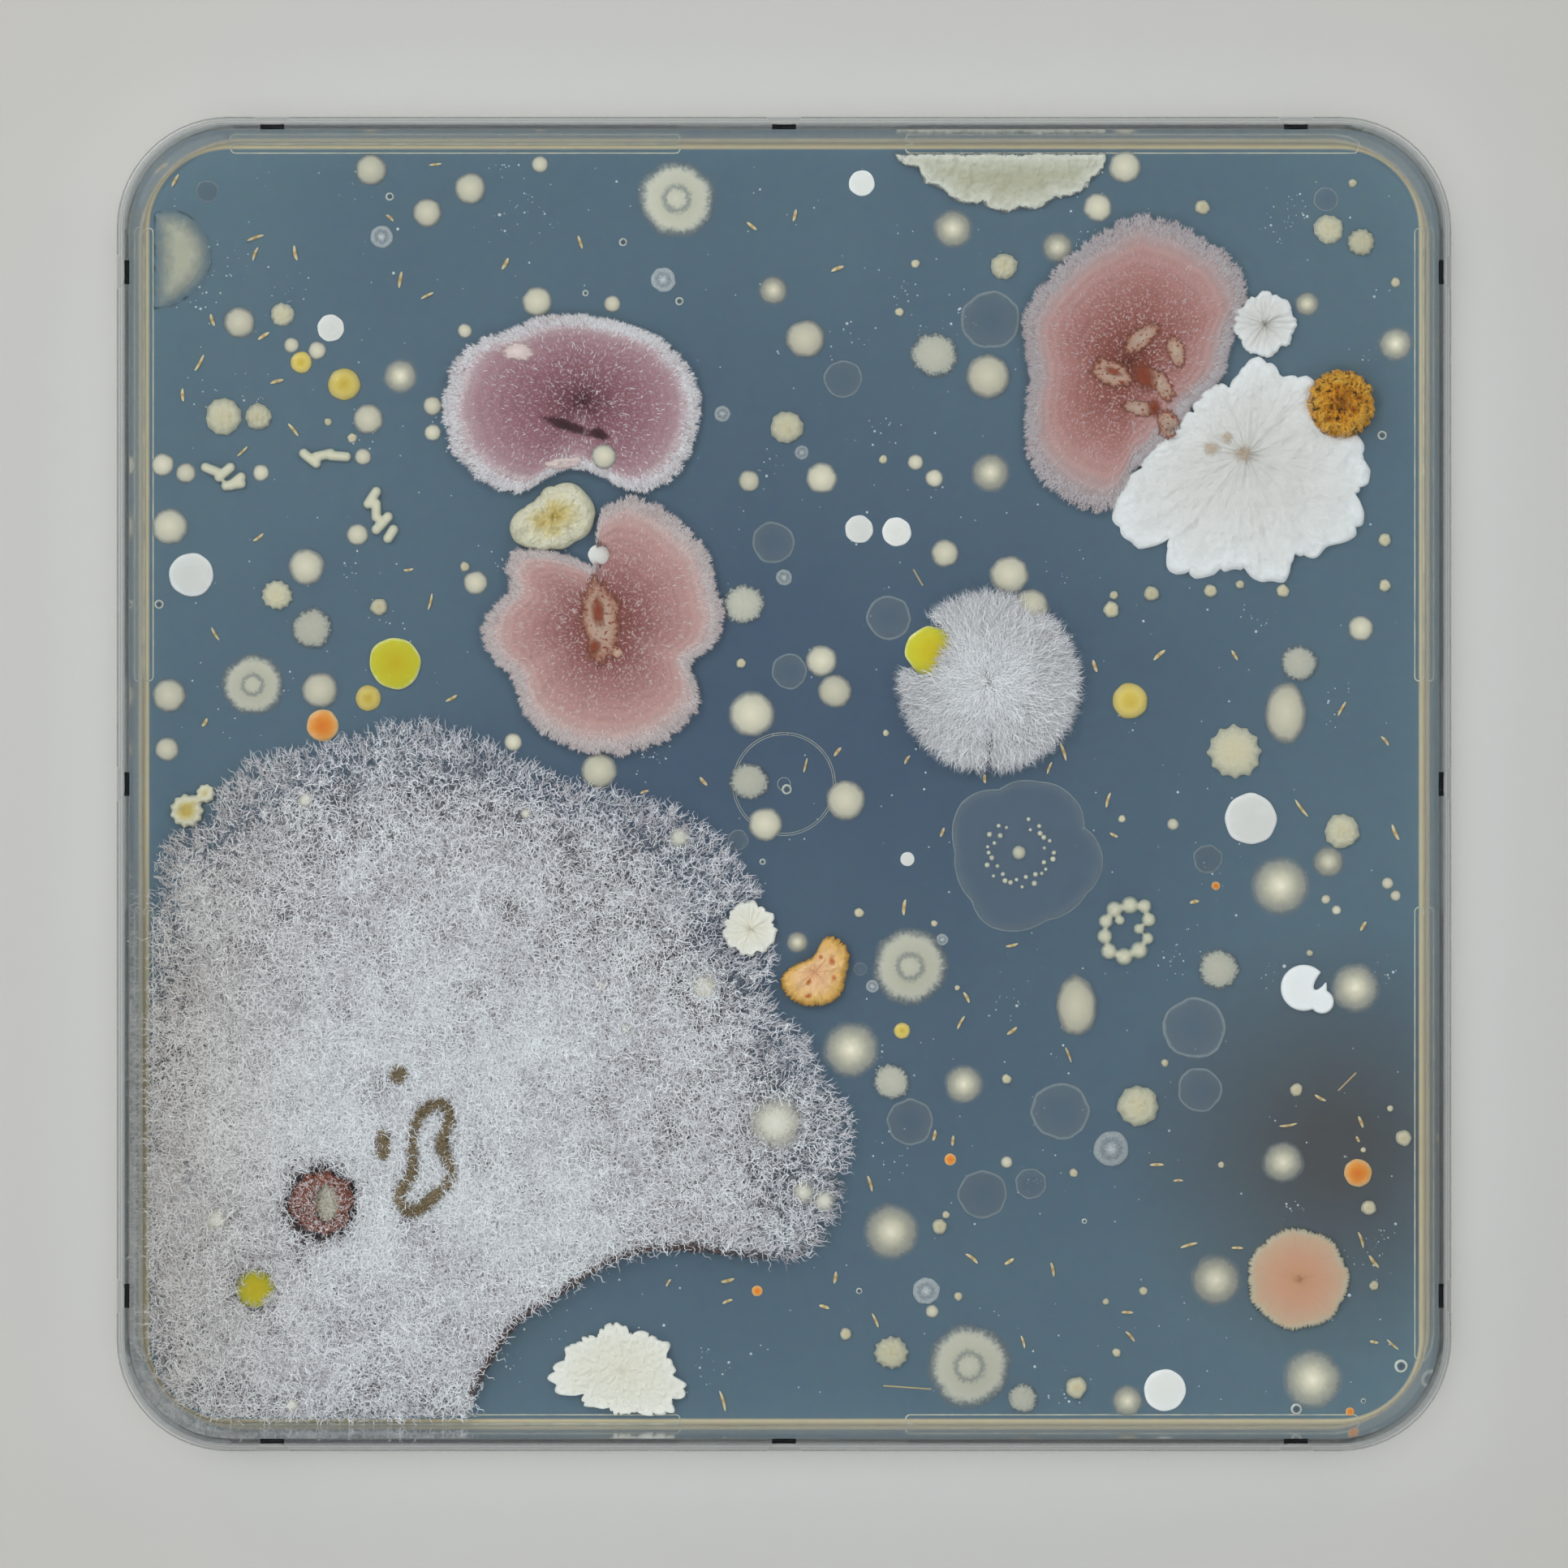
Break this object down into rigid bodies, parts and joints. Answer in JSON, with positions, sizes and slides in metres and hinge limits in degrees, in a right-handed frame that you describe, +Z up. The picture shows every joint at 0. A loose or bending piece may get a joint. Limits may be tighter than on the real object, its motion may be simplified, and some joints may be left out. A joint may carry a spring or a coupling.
{
  "type": "petri dish",
  "caption": "Large square lidded culture dish with a poured agar bed, overgrown with mixed moulds and round bacterial colonies.",
  "frame": {"origin": "under the middle of the dish, on the plane that its foot rails stand on", "axes": "+Z up out of the dish and the way the lid lifts, +X to the right and +Y to the far side as the plate is read from above, both along the dish's sides"},
  "size_m": [0.245, 0.245, 0.025],
  "materials": {
    "clear_base": "clear, moulded",
    "clear_lid": "clear, moulded",
    "agar_gel": "wet, hazy gel",
    "white_mould": "woolly hair",
    "rust_mould": "speckled hair",
    "tan_mould": "short hair",
    "brown_mould": "spore dust",
    "rosy_mould": "velvet",
    "white_growth": "waxy, opaque",
    "cream_growth": "moist, domed",
    "golden_growth": "wet, wrinkled",
    "salmon_growth": "smooth, waxy",
    "peach_growth": "wet, lumpy",
    "haze_growth": "soft haze",
    "film_growth": "thin clear film",
    "crystal_growth": "crystalline",
    "yellow_growth": "moist, domed",
    "husk": "dry chaff"
  },
  "bodies": {
    "dish": {"dish_base": "clear_base", "agar": "agar_gel", "white_mould_mat": "white_mould", "rust_crater_mould": "rust_mould", "crater_heart": "tan_mould", "brown_spore_tufts": "brown_mould", "mat_pads": "cream_growth", "cream_rosettes": "cream_growth", "lobed_cream_colony": "cream_growth", "pink_mould_upper": "rosy_mould", "pink_mould_lower": "rosy_mould", "pink_mould_right": "rosy_mould", "white_lobed_colony": "white_growth", "white_upper_lobe": "white_growth", "golden_wrinkled_colony": "golden_growth", "cream_brain_colony": "cream_growth", "salmon_colony": "salmon_growth", "peach_colony": "peach_growth", "cotton_tuft": "white_mould", "white_crust_colony": "white_growth", "edge_fan_colony": "cream_growth", "edge_haze_colony": "haze_growth", "white_bitten_disc": "white_growth", "white_discs": "white_growth", "cream_discs": "cream_growth", "cream_disc_on_mould": "cream_growth", "halo_colonies": "haze_growth", "ringed_colonies": "cream_growth", "rough_colonies": "cream_growth", "wrinkled_colonies": "cream_growth", "flower_colonies": "cream_growth", "beaded_colony": "cream_growth", "clear_films": "film_growth", "broad_film": "film_growth", "film_granules": "cream_growth", "crystal_discs": "crystal_growth", "yellow_discs": "yellow_growth", "yellow_green_colonies": "yellow_growth", "orange_discs": "salmon_growth", "small_crumbs": "cream_growth", "agar_bubbles": "film_growth", "worm_colonies": "cream_growth", "seed_husks": "husk", "loose_fibres": "husk"},
    "lid": {"lid": "clear_lid"}
  },
  "joints": [
    {"name": "lid_lift", "type": "slide", "parent": "dish", "child": "lid", "axis": [0, 0, 1], "range_m": [0, 0.06]}
  ]
}
